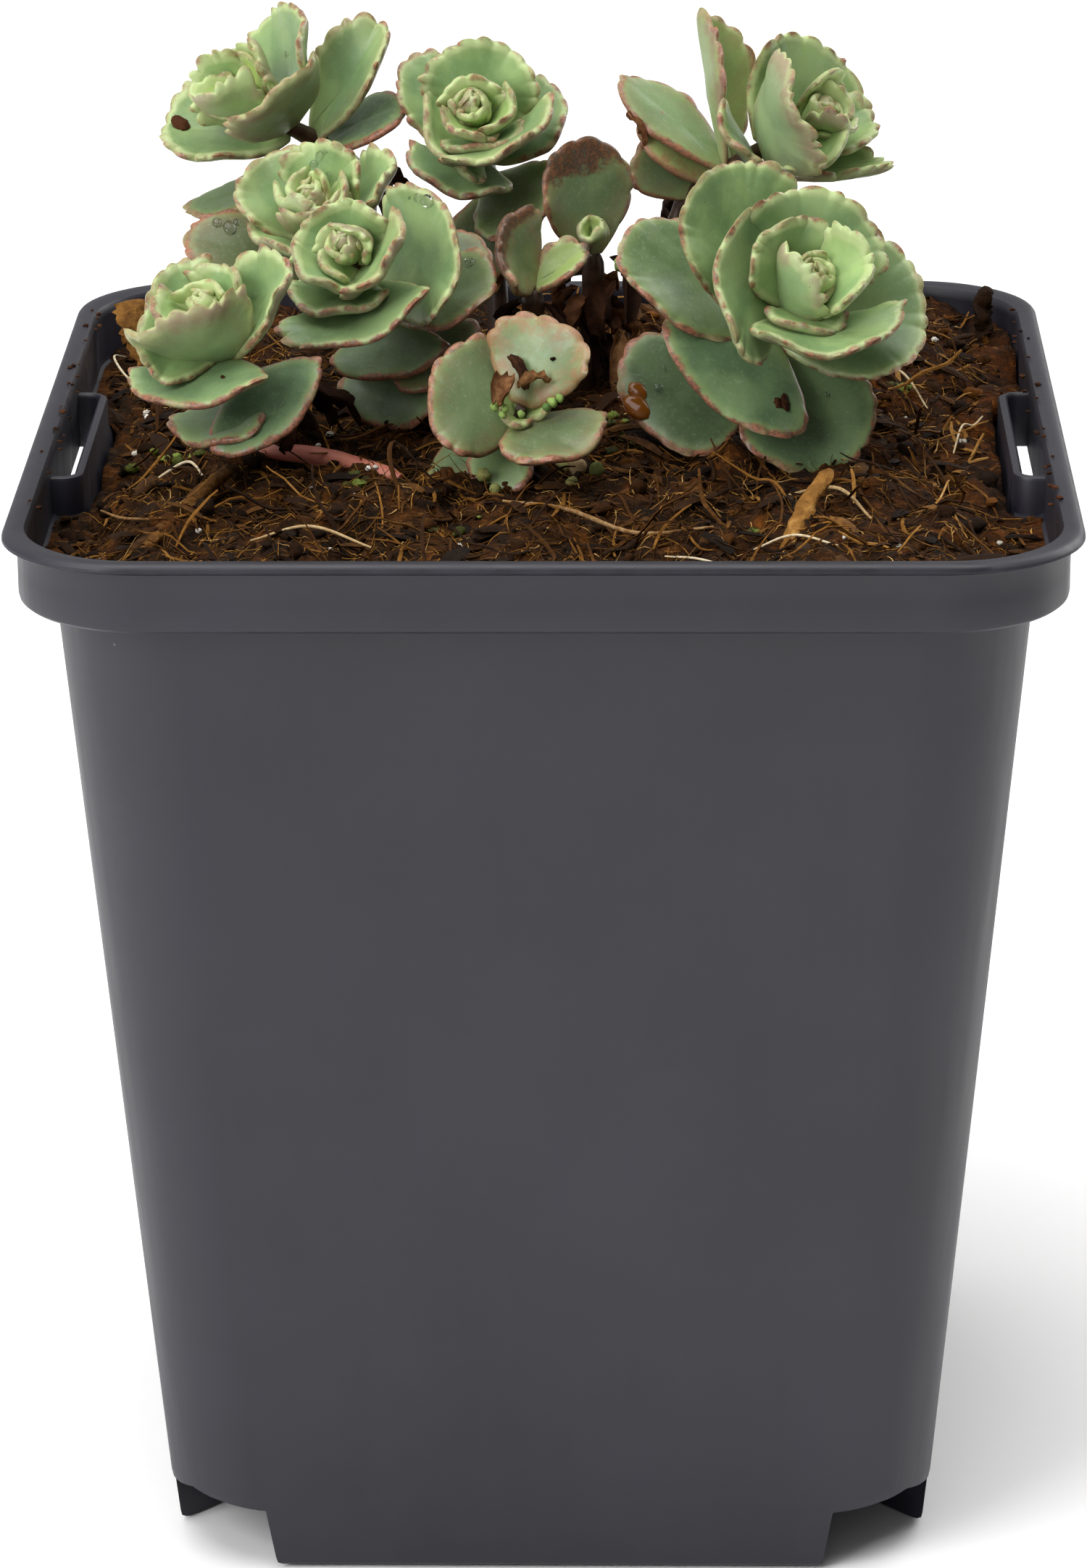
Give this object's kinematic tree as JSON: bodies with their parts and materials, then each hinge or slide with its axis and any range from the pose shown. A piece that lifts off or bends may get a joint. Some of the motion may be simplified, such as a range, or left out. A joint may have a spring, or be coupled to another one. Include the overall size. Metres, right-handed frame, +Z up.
{
  "type": "potted october daphne",
  "caption": "Low rosettes of fleshy round leaves with scalloped edges on short stems, in peat in a tapered square nursery pot with a flanged rim and label slots.",
  "frame": {"origin": "middle of the plane the pot stands on", "axes": "+Z up the pot's axis, -Y towards the pictured front side, +X towards the pictured right"},
  "size_m": [0.11, 0.11, 0.1569],
  "materials": {
    "pot_plastic": "injection moulded anthracite polypropylene, satin",
    "peat": "damp fibrous peat, rough",
    "leaf": "fleshy leaf with a waxy glaucous bloom and pink edges",
    "bark": "broken bark and twigs, dry",
    "dry_stem": "bare pinkish stem, dull"
  },
  "bodies": {
    "root": {"pot": "pot_plastic", "soil": "peat", "rosette_back_left": "leaf", "rosette_back_middle": "leaf", "rosette_left_upper": "leaf", "rosette_left_middle": "leaf", "rosette_front_left": "leaf", "sprout_front": "leaf", "rosette_right": "leaf", "rosette_back_right": "leaf", "shoot_middle": "leaf", "shoot_small": "leaf", "bark_chip_back_left": "bark", "bark_chip_back_right": "bark", "bark_strip_left": "bark", "fallen_stem": "dry_stem", "twig_right": "bark", "wood_splinter_right": "bark"}
  },
  "joints": []
}
